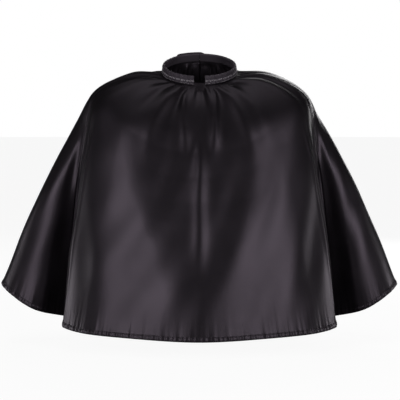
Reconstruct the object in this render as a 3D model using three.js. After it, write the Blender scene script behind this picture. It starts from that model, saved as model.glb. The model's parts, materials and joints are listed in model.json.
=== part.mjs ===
// A short salon cape as it hangs on the shoulders: a circular-cut satin body in a front panel and two back
// halves, an elasticated stand band with a notch at the centre front, turned hems, and a centre-back opening
// that a hook-and-loop tab closes. Each back half folds outwards along a straight crease from band to hem.
//
// Millimetres, +Z up. The wearer faces -Y and the wearer's left is +X. The origin is the centre of the
// neckline, where the neck holds the cape up.

import * as THREE from "three";

// Overall sizes.
const NECK_WIDTH = 146; // across the neckline, at the seam between band and body
const NECK_DEPTH = 124; // from the front of the neckline to its back
const NECK_SLOPE = 0.41; // rise of the neckline for each millimetre towards the back
const SHOULDER_WIDTH = 416; // over the points of the shoulders
const CHEST_REACH = 122; // from the neck's centre to where the cloth leaves the chest
const CHEST_DROP = 108; // from the neckline down to the same place
const HEM_WIDTH = 796; // between the two wing tips
const FRONT_REACH = 214; // hem in front of the neck's centre
const BACK_REACH = 208; // hem behind the neck's centre
const BODY_DROP = 509; // from the neckline's centre down to the front hem

// Cloth, hems and band.
const CLOTH = 1.6; // panel thickness, thicker than the real cloth so that it is a solid wall
const HEM_CLOTH = 2.8; // the same cloth turned twice
const HEM_HEIGHT = 10;
const FACING_WIDTH = 14; // turned edge along the centre-back opening
const SEAM_GAP = 0.6; // clearance between two pieces that are sewn edge to edge
const BAND_HEIGHT = 19;
const BAND_LEAN = 3; // how far the band's top leans in towards the neck
const BAND_WALL = 1.1;
const BAND_PLAY = 0.7; // clearance on each side of the body's top edge inside the band
const BAND_CHANNEL = CLOTH + 2 * BAND_PLAY;
const BAND_LIFT = 2.6; // from the neckline seam up to the band's lower edge
const NOTCH_WIDTH = 21; // gap between the two band halves at the centre front
const TUCK = 4.5; // how far the body's top edge goes up inside the band
const ELASTIC_THICKNESS = 1.4;
const ELASTIC_PLAY = 0.6; // above the elastic, inside the band
const ELASTIC_LIFT = 1.8; // from the body's tucked edge up to the elastic

// Closure at the centre back.
const LAP_AT_NECK = 22; // how far the left half laps over the right one below the band
const LAP_AT_HEM = 40;
const LAP_GAP = 0.4; // clearance between the lapping hem and the one under it
const LAP_LIFT = HEM_CLOTH + LAP_GAP;
const LAP_TOP = 5; // from the neckline down to the lapping edge's top corner
const TAB_ROOT = 14; // from the centre back to where the tab begins on the left half
const TAB_REACH = 46; // from the centre back to the tab's free end on the right half
const TAB_CLOTH = 2;
const PAD_THICKNESS = 1.2;
const PAD_GAP = 0.35; // clearance between the layers of the closed tab
const PAD_MARGIN = 2.5; // from the pad's edge to the edge of what it is sewn on

// Places round the cape are counted in stations: 0 at the centre front, 10 at the centre back by way of the
// wearer's left, and on round the right to 20. `neck` is the angle round the neckline, `over` the point
// where the cloth leaves the shoulder as shares of shoulder width, chest reach and chest drop, `rests` is 1
// where the cloth lies on the body and 0 where it hangs straight from the band, and `hem` is the point on
// the hem as shares of hem width, front or back reach, and drop.
const STATIONS = [
  { neck: 0, over: [0, -1, 1], rests: 1, hem: [0, -1, 1] },
  { neck: 20, over: [0.32, -0.96, 0.96], rests: 1, hem: [0.33, -0.87, 0.993] },
  { neck: 40, over: [0.66, -0.8, 0.78], rests: 1, hem: [0.575, -0.7, 0.982] },
  { neck: 56, over: [0.93, -0.54, 0.55], rests: 1, hem: [0.675, -0.44, 0.972] },
  { neck: 68, over: [1.0, -0.28, 0.42], rests: 1, hem: [0.64, 0.02, 0.965] },
  { neck: 80, over: [1.01, -0.08, 0.36], rests: 1, hem: [0.82, -0.1, 0.925] },
  { neck: 92, over: [1.0, 0.14, 0.36], rests: 1, hem: [1.0, 0.12, 0.833] },
  { neck: 112, over: [0.86, 0.5, 0.44], rests: 0.7, hem: [0.88, 0.5, 0.89] },
  { neck: 138, over: [0.5, 0.8, 0.6], rests: 0, hem: [0.57, 0.83, 0.96] },
  { neck: 159, over: [0.25, 0.9, 0.7], rests: 0, hem: [0.29, 0.96, 0.985] },
  { neck: 180, over: [0, 0.95, 0.7], rests: 0, hem: [0, 1, 0.99] },
];
const CENTRE_BACK = STATIONS.length - 1;
const ALL_ROUND = 2 * CENTRE_BACK;
const SIDE_SEAM = 4.25; // over the shoulder and down the fold behind the front's corner
const CREASE = 8; // where a back half folds outwards

const YOKE_RISE = 19; // how far the cloth bows up between neck and shoulder
const YOKE_SHARE = 0.45; // of the way from the neckline to the shoulder
const ARM_SHARE = 0.15; // of the way from the shoulder to the hem
const ARM_BOW = 9; // how far the cloth bows out there
const FALL_BOW = 11; // and halfway between shoulder and hem
const STEP_MM = 0.5; // for slopes measured along the cloth
const STEP_STATION = 0.01; // and across it

const satin = new THREE.MeshStandardMaterial({ color: 0x1c191d, roughness: 0.45, metalness: 0 });
const turnedSatin = new THREE.MeshStandardMaterial({ color: 0x17151a, roughness: 0.5, metalness: 0 });
const elastic = new THREE.MeshStandardMaterial({ color: 0x0e0e0f, roughness: 0.9, metalness: 0 });
const hook = new THREE.MeshStandardMaterial({ color: 0x101012, roughness: 0.8, metalness: 0 });
const loop = new THREE.MeshStandardMaterial({ color: 0x131315, roughness: 0.95, metalness: 0 });

const radians = THREE.MathUtils.degToRad;

// The four rings and the neckline, each a closed curve with one point for each station.

function neckPoint(station) {
  const turn = radians(station.neck);
  const y = (-NECK_DEPTH / 2) * Math.cos(turn);
  return new THREE.Vector3((NECK_WIDTH / 2) * Math.sin(turn), y, y * NECK_SLOPE);
}

function hemPoint(station) {
  const [x, y, z] = station.hem;
  const reach = y < 0 ? FRONT_REACH : BACK_REACH;
  return new THREE.Vector3((x * HEM_WIDTH) / 2, y * reach, -z * BODY_DROP);
}

function shoulderPoint(station) {
  const [x, y, z] = station.over;
  const on = new THREE.Vector3((x * SHOULDER_WIDTH) / 2, y * CHEST_REACH, -z * CHEST_DROP);
  const neck = neckPoint(station);
  const hem = hemPoint(station);
  const down = neck.distanceTo(on) / (neck.distanceTo(on) + on.distanceTo(hem));
  return neck.lerp(hem, down).lerp(on, station.rests);
}

function yokePoint(station) {
  const point = neckPoint(station).lerp(shoulderPoint(station), YOKE_SHARE);
  point.z += YOKE_RISE * station.rests * (0.4 + 0.6 * Math.min(1, station.over[0]));
  return point;
}

function belowShoulder(station, share, bow) {
  const shoulder = shoulderPoint(station);
  const away = new THREE.Vector3(shoulder.x, shoulder.y, 0).normalize();
  return shoulder.lerp(hemPoint(station), share).addScaledVector(away, bow * station.rests);
}

const armPoint = (station) => belowShoulder(station, ARM_SHARE, ARM_BOW);
const middlePoint = (station) => belowShoulder(station, 0.5, FALL_BOW);

function ring(pointAt) {
  const left = STATIONS.map(pointAt);
  const right = left
    .slice(1, -1)
    .reverse()
    .map((p) => new THREE.Vector3(-p.x, p.y, p.z));
  const curve = new THREE.CatmullRomCurve3([...left, ...right], true, "centripetal");
  return (u) => curve.getPoint(THREE.MathUtils.euclideanModulo(u, ALL_ROUND) / ALL_ROUND);
}

const neckline = ring(neckPoint);
const bandTop = ring((station) => {
  const base = neckPoint(station);
  const inward = new THREE.Vector3(-base.x, -base.y, -base.z).normalize();
  const up = new THREE.Vector3(0, -NECK_SLOPE, 1).normalize();
  return base.addScaledVector(up, BAND_HEIGHT).addScaledVector(inward, BAND_LEAN);
});
const fallRings = [neckPoint, yokePoint, shoulderPoint, armPoint, middlePoint, hemPoint].map(ring);

// A strand is the line that the cloth takes from the neckline down to the hem at one place round the cape.
const strands = new Map();

function strand(u) {
  const key = u.toFixed(5);
  if (!strands.has(key)) {
    const curve = new THREE.CatmullRomCurve3(
      fallRings.map((at) => at(u)),
      false,
      "centripetal",
    );
    curve.arcLengthDivisions = 80;
    strands.set(key, { curve, length: curve.getLength() });
  }
  return strands.get(key);
}

function bandUp(u) {
  return bandTop(u).sub(neckline(u)).normalize();
}

// The cloth's middle surface: `down` is the distance along the cloth below the neckline, or above it.
function cloth(u, down) {
  if (down <= 0) return neckline(u).addScaledVector(bandUp(u), -down);
  const { curve, length } = strand(u);
  return curve.getPointAt(Math.min(1, down / length));
}

function outward(u, down) {
  const across = cloth(u + STEP_STATION, down).sub(cloth(u - STEP_STATION, down));
  const low = Math.min(down + STEP_MM, strand(u).length);
  const along = cloth(u, low).sub(cloth(u, low - 2 * STEP_MM));
  return along.cross(across).normalize();
}

function stationsFor(mm, u, down) {
  const across = cloth(u + STEP_STATION, down).distanceTo(cloth(u - STEP_STATION, down));
  return (mm * 2 * STEP_STATION) / across;
}

// A point of a piece: how far round, how far down the cloth, and how far out from its middle.
function pointOn(u, down, out) {
  return cloth(u, down).addScaledVector(outward(u, down), out);
}

function piece(name, geometry, material) {
  geometry.computeVertexNormals();
  const mesh = new THREE.Mesh(geometry, material);
  mesh.name = name;
  return mesh;
}

// A sheet of cloth with a thickness: a plane's grid laid on the cape twice, facing out and facing in, with a
// rim between. `downAt` turns a row number into a distance down the cloth, `edges` gives the two ends across
// the cape at that distance, as stations, and `lift` moves the sheet outwards.
function sheet(name, material, thick, steps, rows, downAt, edges, lift = () => 0) {
  const plane = new THREE.PlaneGeometry(1, 1, steps, rows - 1);
  const columns = steps + 1;
  const count = columns * rows;
  const points = [];
  for (const side of [0.5, -0.5]) {
    for (let i = 0; i < count; i++) {
      const row = Math.floor(i / columns);
      const near = downAt(row, (edges.from(0) + edges.to(0)) / 2);
      const across = (i % columns) / steps;
      const u = THREE.MathUtils.lerp(edges.from(near), edges.to(near), across);
      const down = downAt(row, u);
      points.push(pointOn(u, down, side * thick + lift(u, down)));
    }
  }
  const faces = [...plane.index.array];
  for (let i = 0; i < plane.index.count; i += 3) {
    const [a, b, c] = faces.slice(i, i + 3);
    faces.push(a + count, c + count, b + count);
  }
  const bottom = Array.from({ length: steps }, (_, i) => count - columns + i);
  const right = Array.from({ length: rows - 1 }, (_, i) => count - 1 - i * columns);
  const top = Array.from({ length: steps }, (_, i) => steps - i);
  const left = Array.from({ length: rows - 1 }, (_, i) => i * columns);
  const border = [...bottom, ...right, ...top, ...left];
  border.forEach((p, i) => {
    const q = border[(i + 1) % border.length];
    faces.push(q, p, p + count, q, p + count, q + count);
  });
  const geometry = new THREE.BufferGeometry().setFromPoints(points).setIndex(faces);
  return piece(name, geometry, material);
}

// A closed section drawn in distance outwards and height up the band, extruded and bent round the neckline.
function bentRound(name, material, section, steps, edges) {
  const geometry = new THREE.ExtrudeGeometry(new THREE.Shape(section), {
    depth: 1,
    steps,
    bevelEnabled: false,
  });
  const place = geometry.getAttribute("position");
  for (let i = 0; i < place.count; i++) {
    const u = THREE.MathUtils.lerp(edges.to(0), edges.from(0), place.getZ(i));
    const point = pointOn(u, -place.getY(i), place.getX(i));
    place.setXYZ(i, point.x, point.y, point.z);
  }
  return piece(name, geometry, material);
}

// Edges at a fixed station, drawn back by half a seam, or by more where an edge is turned.
function edgesBetween(from, to, backFrom = SEAM_GAP / 2, backTo = SEAM_GAP / 2) {
  return {
    from: (down) => from + stationsFor(backFrom, from, down),
    to: (down) => to - stationsFor(backTo, to, down),
  };
}

// The other side of the body: the same piece between the mirrored stations.
function mirrored(edges) {
  return {
    from: (down) => ALL_ROUND - edges.to(down),
    to: (down) => ALL_ROUND - edges.from(down),
  };
}

// Rows of a body panel: its top edge inside the band, the seam, then shares of the way down to the hem.
const SHARES = [0, 0.02, 0.06, 0.11, 0.17, 0.22, 0.27, 0.33, 0.42, 0.54, 0.68, 0.84, 1];

function panelDown(row, u) {
  if (row === 0) return -TUCK;
  return SHARES[row - 1] * (strand(u).length - HEM_HEIGHT - SEAM_GAP);
}

// The lapping half leaves the band before the tab begins, and runs on below it.
function lapDown(row, u) {
  if (row > 1) return panelDown(row, u);
  const past = mmPastCentre(u, 0);
  const out = THREE.MathUtils.smoothstep(past, -TAB_ROOT - 10, -TAB_ROOT - 2);
  return THREE.MathUtils.lerp(row === 0 ? -TUCK : 0, LAP_TOP + row, out);
}

function facingDown(row, u) {
  return panelDown(row + 2, u);
}

function hemDown(row, u) {
  return strand(u).length - HEM_HEIGHT * (1 - row);
}

function panel(name, edges, steps, downAt = panelDown, lift) {
  return sheet(name, satin, CLOTH, steps, SHARES.length + 1, downAt, edges, lift);
}

function hem(name, edges, steps, lift) {
  return sheet(name, turnedSatin, HEM_CLOTH, steps, 2, hemDown, edges, lift);
}

// The turned edge of the opening starts below the band.
function facing(name, edges, lift) {
  return sheet(name, turnedSatin, HEM_CLOTH, 2, SHARES.length - 1, facingDown, edges, lift);
}

// The band is a strip folded over at the top. Its walls are open below, for the body's edge and the elastic.
const BAND_OUT = BAND_CHANNEL / 2 + BAND_WALL;
const BAND_SECTION = [
  [BAND_OUT, BAND_LIFT],
  [BAND_OUT, BAND_HEIGHT],
  [-BAND_OUT, BAND_HEIGHT],
  [-BAND_OUT, BAND_LIFT],
  [-BAND_CHANNEL / 2, BAND_LIFT],
  [-BAND_CHANNEL / 2, BAND_HEIGHT - BAND_WALL],
  [BAND_CHANNEL / 2, BAND_HEIGHT - BAND_WALL],
  [BAND_CHANNEL / 2, BAND_LIFT],
].map(([x, y]) => new THREE.Vector2(x, y));

function band(name, edges, steps) {
  return bentRound(name, turnedSatin, BAND_SECTION, steps, edges);
}

// A flat strip that follows the band between two heights.
function bandStrip(name, material, low, high, thick, edges, steps, lift) {
  const upTheBand = (row) => (row === 0 ? -high : -low);
  return sheet(name, material, thick, steps, 2, upTheBand, edges, lift);
}

function neckElastic(name, edges) {
  const low = TUCK + ELASTIC_LIFT;
  const high = BAND_HEIGHT - BAND_WALL - ELASTIC_PLAY;
  return bandStrip(name, elastic, low, high, ELASTIC_THICKNESS, edges, 18);
}

function mmPastCentre(u, down) {
  return (u - CENTRE_BACK) / stationsFor(1, CENTRE_BACK, down);
}

// How far the left half stands off the right one where it laps over it.
function lapLift(u, down) {
  const across = THREE.MathUtils.smoothstep(mmPastCentre(u, down), -FACING_WIDTH * 3, -FACING_WIDTH);
  return across * THREE.MathUtils.smoothstep(down, -LAP_TOP, LAP_TOP) * LAP_LIFT;
}

// The tab climbs from the band's own middle onto the outside of both pads.
const LOOP_OUT = BAND_OUT + PAD_GAP + PAD_THICKNESS / 2;
const HOOK_OUT = LOOP_OUT + PAD_THICKNESS + PAD_GAP;
const TAB_OUT = HOOK_OUT + PAD_THICKNESS / 2 + PAD_GAP + TAB_CLOTH / 2;

function tabLift(u) {
  return THREE.MathUtils.smoothstep(mmPastCentre(u, 0), -TAB_ROOT, -1) * TAB_OUT;
}

const lapShare = (down) => THREE.MathUtils.clamp(down / BODY_DROP, 0, 1);
const lapAt = (down) => THREE.MathUtils.lerp(LAP_AT_NECK, LAP_AT_HEM, lapShare(down));
const pastCentre = (mm, down = 0) => CENTRE_BACK + stationsFor(mm, CENTRE_BACK, down);

// Edges of the pieces on the left half; the right half's body pieces mirror them.
const frontEdges = edgesBetween(-SIDE_SEAM, SIDE_SEAM);
const backEdges = edgesBetween(SIDE_SEAM, CREASE);
const lapEdge = (inside) => (down) => pastCentre(lapAt(down) - inside, down);
const leftFlapEdges = {
  from: edgesBetween(CREASE, CENTRE_BACK).from,
  to: lapEdge(FACING_WIDTH + SEAM_GAP),
};
const leftFacingEdges = { from: lapEdge(FACING_WIDTH), to: lapEdge(0) };
const leftFlapHemEdges = { from: leftFlapEdges.from, to: lapEdge(0) };

const facingBack = FACING_WIDTH + SEAM_GAP * 1.5;
const underFlapEdges = edgesBetween(CREASE, CENTRE_BACK, SEAM_GAP / 2, facingBack);
const underFacingEdges = {
  from: (down) => CENTRE_BACK - stationsFor(FACING_WIDTH + SEAM_GAP / 2, CENTRE_BACK, down),
  to: (down) => CENTRE_BACK - stationsFor(SEAM_GAP / 2, CENTRE_BACK, down),
};
const underHemEdges = edgesBetween(CREASE, CENTRE_BACK);

const notchStation = stationsFor(NOTCH_WIDTH / 2, 0, 0);
const frontBandEdges = edgesBetween(notchStation, CREASE, 0);
const elasticEdges = edgesBetween(notchStation, CREASE, 3, 3);
const tabStart = pastCentre(-TAB_ROOT);
const leftBandEndEdges = edgesBetween(CREASE, tabStart);
const rightBandEndEdges = edgesBetween(CREASE, CENTRE_BACK);
const tabEdges = { from: () => tabStart, to: () => pastCentre(TAB_REACH) };
const hookEdges = { from: () => pastCentre(6), to: () => pastCentre(TAB_REACH - PAD_MARGIN) };
const loopEdges = { from: () => pastCentre(3), to: () => pastCentre(TAB_REACH) };

const TAB_LOW = BAND_LIFT + 1;
const TAB_HIGH = BAND_HEIGHT - 1;
const PAD_LOW = TAB_LOW + PAD_MARGIN;
const PAD_HIGH = TAB_HIGH - PAD_MARGIN;

const frontBody = new THREE.Group();
frontBody.add(
  panel("front_panel", frontEdges, 44),
  hem("front_hem", frontEdges, 44),
  panel("left_back_panel", backEdges, 18),
  panel("right_back_panel", mirrored(backEdges), 18),
  hem("left_back_hem", backEdges, 18),
  hem("right_back_hem", mirrored(backEdges), 18),
  band("left_neckband", frontBandEdges, 20),
  band("right_neckband", mirrored(frontBandEdges), 20),
  neckElastic("left_neck_elastic", elasticEdges),
  neckElastic("right_neck_elastic", mirrored(elasticEdges)),
);

const leftHalf = new THREE.Group();
leftHalf.add(
  panel("left_back_flap", leftFlapEdges, 14, lapDown, lapLift),
  hem("left_flap_hem", leftFlapHemEdges, 12, lapLift),
  facing("left_opening_facing", leftFacingEdges, lapLift),
  band("left_neckband_end", leftBandEndEdges, 5),
);

const rightHalf = new THREE.Group();
rightHalf.add(
  panel("right_back_flap", mirrored(underFlapEdges), 8),
  hem("right_flap_hem", mirrored(underHemEdges), 9),
  facing("right_opening_facing", mirrored(underFacingEdges)),
  band("right_neckband_end", mirrored(rightBandEndEdges), 7),
  bandStrip("loop_pad", loop, PAD_LOW, PAD_HIGH, PAD_THICKNESS, loopEdges, 6, () => LOOP_OUT),
);

const closure = new THREE.Group();
closure.add(
  bandStrip("closure_tab", turnedSatin, TAB_LOW, TAB_HIGH, TAB_CLOTH, tabEdges, 10, tabLift),
  bandStrip("hook_pad", hook, PAD_LOW, PAD_HIGH, PAD_THICKNESS, hookEdges, 6, () => HOOK_OUT),
);

const cape = new THREE.Group();
cape.add(frontBody, leftHalf, rightHalf, closure);

export default cape;
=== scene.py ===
"""A short black satin salon cape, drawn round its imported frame.

Every piece of cloth is a grid laid on one drape. A place on the drape is a station round the cape, from 0 at
the centre front by way of the wearer's left to 10 at the centre back and on to 20, and a distance down the
cloth from the neckline, or up the band where it is below zero. Metres, +Z up, the wearer faces -Y.
"""

import json
import math

import bmesh
import bpy
import numpy as np
from mathutils import Matrix, Vector


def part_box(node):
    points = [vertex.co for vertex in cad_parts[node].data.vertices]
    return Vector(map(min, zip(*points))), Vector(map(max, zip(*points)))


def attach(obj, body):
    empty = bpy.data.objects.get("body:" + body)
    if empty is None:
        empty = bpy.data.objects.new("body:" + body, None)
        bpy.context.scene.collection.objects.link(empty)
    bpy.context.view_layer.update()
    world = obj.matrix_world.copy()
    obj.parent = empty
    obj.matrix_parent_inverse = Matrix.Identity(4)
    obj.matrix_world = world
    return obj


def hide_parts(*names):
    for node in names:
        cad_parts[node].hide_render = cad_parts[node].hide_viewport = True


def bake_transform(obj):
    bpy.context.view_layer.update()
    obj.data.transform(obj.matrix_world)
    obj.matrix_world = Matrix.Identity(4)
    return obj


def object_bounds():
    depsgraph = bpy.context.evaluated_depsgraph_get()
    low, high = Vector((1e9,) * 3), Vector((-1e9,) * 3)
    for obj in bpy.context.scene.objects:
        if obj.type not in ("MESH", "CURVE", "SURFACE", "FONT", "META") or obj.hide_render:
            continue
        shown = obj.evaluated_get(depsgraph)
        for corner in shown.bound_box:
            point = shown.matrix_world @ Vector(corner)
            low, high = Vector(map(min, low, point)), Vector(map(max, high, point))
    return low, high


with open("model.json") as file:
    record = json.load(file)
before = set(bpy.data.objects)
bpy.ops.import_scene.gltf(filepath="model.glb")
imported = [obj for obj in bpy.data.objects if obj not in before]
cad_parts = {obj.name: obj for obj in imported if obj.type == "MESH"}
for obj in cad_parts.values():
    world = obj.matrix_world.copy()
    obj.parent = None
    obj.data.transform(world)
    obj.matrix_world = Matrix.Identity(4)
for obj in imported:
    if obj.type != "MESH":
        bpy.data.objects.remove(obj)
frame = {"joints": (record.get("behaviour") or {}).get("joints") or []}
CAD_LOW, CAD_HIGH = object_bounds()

bl_info = {
    "name": "Salon Cape",
    "version": (1, 0, 0),
    "blender": (4, 5, 0),
    "location": "3D View > Sidebar > Salon Cape",
    "description": "Draws the cloth, neckband, stitching and closure of a short salon cape",
    "category": "Add Mesh",
}

# The cut, as the frame has it.
HEM_CLOTH = 0.0028
HEM_HEIGHT = 0.010
HEM_WIDTH = CAD_HIGH.x - CAD_LOW.x - HEM_CLOTH
FRONT_REACH = -CAD_LOW.y - HEM_CLOTH / 2
BACK_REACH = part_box("right_flap_hem")[1].y - HEM_CLOTH / 2
BODY_DROP = -CAD_LOW.z
BAND_HEIGHT = 0.019
BAND_LEAN = 0.003
BAND_LIFT = 0.0026
BAND_OUT = 0.0026
NECK_WIDTH = 2 * (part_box("left_neckband")[1].x - BAND_OUT + BAND_LEAN * BAND_LIFT / BAND_HEIGHT)
NECK_DEPTH = 0.124
NECK_SLOPE = 0.41
SHOULDER_WIDTH = 0.416
CHEST_REACH = 0.122
CHEST_DROP = 0.108
TUCK = 0.0045
NOTCH_WIDTH = 0.021
FACING_WIDTH = 0.014

# The closure at the centre back.
LAP_AT_NECK = 0.022
LAP_AT_HEM = 0.040
LAP_LIFT = 0.0032
LAP_TOP = 0.005
LAP_CLEARS = (-0.010, -0.001)  # metres past the centre, where the left half comes clear of the band
TAB_ROOT = 0.014
TAB_REACH = 0.046
PAD_THICKNESS = 0.0012
PAD_GAP = 0.00035
TAB_CLOTH = 0.002

# Stations: the angle round the neckline, the point where the cloth leaves the shoulder, how far it rests on
# the body, and the point on the hem, as shares of the sizes above.
STATIONS = (
    (0, (0, -1, 1), 1, (0, -1, 1)),
    (20, (0.32, -0.96, 0.96), 1, (0.33, -0.87, 0.993)),
    (40, (0.66, -0.8, 0.78), 1, (0.575, -0.7, 0.982)),
    (56, (0.93, -0.54, 0.55), 1, (0.675, -0.44, 0.972)),
    (68, (1.0, -0.28, 0.42), 1, (0.64, 0.02, 0.965)),
    (80, (1.01, -0.08, 0.36), 1, (0.82, -0.1, 0.925)),
    (92, (1.0, 0.14, 0.36), 1, (1.0, 0.12, 0.833)),
    (112, (0.86, 0.5, 0.44), 0.7, (0.88, 0.5, 0.89)),
    (138, (0.5, 0.8, 0.6), 0, (0.57, 0.83, 0.96)),
    (159, (0.25, 0.9, 0.7), 0, (0.29, 0.96, 0.985)),
    (180, (0, 0.95, 0.7), 0, (0, 1, 0.99)),
)
CENTRE_BACK = len(STATIONS) - 1
ALL_ROUND = 2 * CENTRE_BACK
SIDE_SEAM = 4.25
CREASE = 8
YOKE_RISE = 0.019
YOKE_SHARE = 0.45
YOKE_LEAST = 0.4  # of the rise, at the centre front
ARM_SHARE = 0.15
ARM_BOW = 0.009
FALL_SHARE = 0.5
FALL_BOW = 0.011

# The crease that each back half folds on, from its joint, how far the bend reaches on each side of it, and
# the way across it for what goes round the neck. The tab's own hinge follows.
JOINTS = {joint["name"]: joint for joint in frame["joints"]}
CREASE_AXIS = Vector(JOINTS["left_flap_open"]["axis"]).normalized()
CREASE_SOFTNESS = 0.022
CREASE_LOOK = 0.25  # down the cloth, where the way across the crease is taken
NECK_BEND_WAY = (-0.5, 0.87, 0)  # of the left half
TAB_AXIS = Vector(JOINTS["tab_peel"]["axis"]).normalized()

# The drape ----------------------------------------------------------------------------------------------


def neck_point(neck, *_):
    turn = math.radians(neck)
    y = -NECK_DEPTH / 2 * math.cos(turn)
    return np.array([NECK_WIDTH / 2 * math.sin(turn), y, y * NECK_SLOPE])


def hem_point(neck, over, rests, hem):
    reach = FRONT_REACH if hem[1] < 0 else BACK_REACH
    return np.array([hem[0] * HEM_WIDTH / 2, hem[1] * reach, -hem[2] * BODY_DROP])


def shoulder_point(neck, over, rests, hem):
    on = np.array([over[0] * SHOULDER_WIDTH / 2, over[1] * CHEST_REACH, -over[2] * CHEST_DROP])
    top, bottom = neck_point(neck), hem_point(neck, over, rests, hem)
    above, below = np.linalg.norm(on - top), np.linalg.norm(bottom - on)
    hanging = top + (bottom - top) * above / (above + below)
    return hanging + (on - hanging) * rests


def yoke_point(neck, over, rests, hem):
    top, shoulder = neck_point(neck), shoulder_point(neck, over, rests, hem)
    rise = YOKE_RISE * rests * (YOKE_LEAST + (1 - YOKE_LEAST) * min(1, over[0]))
    return top + (shoulder - top) * YOKE_SHARE + np.array([0, 0, rise])


def below_shoulder(share, bow):
    def point(neck, over, rests, hem):
        shoulder = shoulder_point(neck, over, rests, hem)
        away = shoulder * (1, 1, 0)
        bottom = hem_point(neck, over, rests, hem)
        return shoulder + (bottom - shoulder) * share + away / np.linalg.norm(away) * bow * rests

    return point


def band_top_point(neck, *_):
    base = neck_point(neck)
    up = np.array([0, -NECK_SLOPE, 1]) / math.hypot(NECK_SLOPE, 1)
    return base + up * BAND_HEIGHT - base / np.linalg.norm(base) * BAND_LEAN


def ring(point_at):
    """One closed ring of points, a point for each station, the right side a mirror of the left."""
    left = np.array([point_at(*station) for station in STATIONS])
    return np.concatenate([left, left[-2:0:-1] * (-1, 1, 1)])


def between(p0, p1, p2, p3, w):
    """A centripetal Catmull-Rom curve from p1 to p2."""
    steps = (p1 - p0, p2 - p1, p3 - p2)
    d0, d1, d2 = (np.sqrt(np.linalg.norm(step, axis=-1, keepdims=True)) for step in steps)
    t1 = ((p1 - p0) / d0 - (p2 - p0) / (d0 + d1) + (p2 - p1) / d1) * d1
    t2 = ((p2 - p1) / d1 - (p3 - p1) / (d1 + d2) + (p3 - p2) / d2) * d1
    return p1 + w * (t1 + w * (3 * (p2 - p1) - 2 * t1 - t2 + w * (2 * (p1 - p2) + t1 + t2)))


def on_ring(points, station):
    station = np.mod(station, ALL_ROUND)
    first = np.floor(station).astype(int)
    near = [points[(first + step) % ALL_ROUND] for step in (-1, 0, 1, 2)]
    return between(*near, (station - first)[..., None])


FALLS = (
    neck_point,
    yoke_point,
    shoulder_point,
    below_shoulder(ARM_SHARE, ARM_BOW),
    below_shoulder(FALL_SHARE, FALL_BOW),
    hem_point,
)
FALL_RINGS = [ring(point_at) for point_at in FALLS]
BAND_TOP = ring(band_top_point)


def on_strand(station, share):
    """A point on the line that the cloth takes from the neckline down to the hem."""
    knots = np.stack([on_ring(points, station) for points in FALL_RINGS])
    knots = np.concatenate([2 * knots[:1] - knots[1:2], knots, 2 * knots[-1:] - knots[-2:-1]])
    spans = len(FALL_RINGS) - 1
    at = np.clip(share, 0, 1) * spans
    first = np.minimum(np.floor(at).astype(int), spans - 1)
    each = np.arange(len(at))
    near = [knots[first + step, each] for step in range(4)]
    return between(*near, (at - first)[:, None])


MARKS_PER_STATION = 24
MARKS_DOWN = 96
MARK_STATIONS = np.arange(ALL_ROUND * MARKS_PER_STATION + 2) / MARKS_PER_STATION
MARK_SHARES = np.arange(MARKS_DOWN + 1) / MARKS_DOWN
MARK_POINTS = np.stack([on_strand(MARK_STATIONS, np.full_like(MARK_STATIONS, part)) for part in MARK_SHARES])
STEPS_DOWN = np.linalg.norm(np.diff(MARK_POINTS, axis=0), axis=-1)
LENGTHS = np.concatenate([np.zeros((1, len(MARK_STATIONS))), np.cumsum(STEPS_DOWN, axis=0)])


def run_along(points):
    """The distance along a line of points, from the first to each."""
    return np.concatenate([[0], np.cumsum(np.linalg.norm(np.diff(points, axis=0), axis=-1))])


HEM_RUN = run_along(MARK_POINTS[-1])
NECK_RUN = run_along(MARK_POINTS[0])


def hem_run(station):
    return np.interp(np.mod(station, ALL_ROUND), MARK_STATIONS, HEM_RUN)


def neck_run(station):
    return np.interp(np.mod(station, ALL_ROUND), MARK_STATIONS, NECK_RUN)


def cloth_length(station):
    return np.interp(np.mod(station, ALL_ROUND), MARK_STATIONS, LENGTHS[-1])


def strand_share(station, down):
    place = np.mod(station, ALL_ROUND) * MARKS_PER_STATION
    mark = np.floor(place).astype(int)
    part = place - mark
    reach = LENGTHS[:, mark] * (1 - part) + LENGTHS[:, mark + 1] * part
    above = np.clip((reach < down).sum(0) - 1, 0, MARKS_DOWN - 1)
    each = np.arange(len(above))
    low, high = reach[above, each], reach[above + 1, each]
    return (above + (down - low) / (high - low)) / MARKS_DOWN


def band_up(station):
    rise = on_ring(BAND_TOP, station) - on_ring(FALL_RINGS[0], station)
    return rise / np.linalg.norm(rise, axis=-1, keepdims=True)


def drape(station, down):
    hanging = on_strand(station, strand_share(station, np.maximum(down, 0)))
    standing = on_ring(FALL_RINGS[0], station) + band_up(station) * -np.minimum(down, 0)[:, None]
    return np.where((down > 0)[:, None], hanging, standing)


SLOPE_STEP = 0.0005
SLOPE_STATION = 0.01


def outward(station, down):
    across = drape(station + SLOPE_STATION, down) - drape(station - SLOPE_STATION, down)
    low = np.minimum(down + SLOPE_STEP, cloth_length(station))
    along = drape(station, low) - drape(station, low - 2 * SLOPE_STEP)
    normal = np.cross(along, across)
    return normal / np.linalg.norm(normal, axis=-1, keepdims=True)


def lifted(station, down, out):
    places = (np.atleast_1d(np.asarray(values, float)) for values in (station, down, out))
    station, down, out = np.broadcast_arrays(*places)
    return drape(station, down) + outward(station, down) * out[:, None]


def stations_for(distance, station, down=0.0):
    """How many stations a distance across the cape is."""
    places = (np.atleast_1d(np.asarray(values, float)) for values in (station, down))
    station, down = np.broadcast_arrays(*places)
    across = drape(station + SLOPE_STATION, down) - drape(station - SLOPE_STATION, down)
    return distance * 2 * SLOPE_STATION / np.linalg.norm(across, axis=-1)


def centre_scale(down):
    """Stations for each metre across at the centre back."""
    return stations_for(1.0, np.full(np.shape(down), float(CENTRE_BACK)), down)


def past_centre(distance, down=0.0):
    down = np.atleast_1d(down).astype(float)
    return CENTRE_BACK + distance * centre_scale(down)


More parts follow.
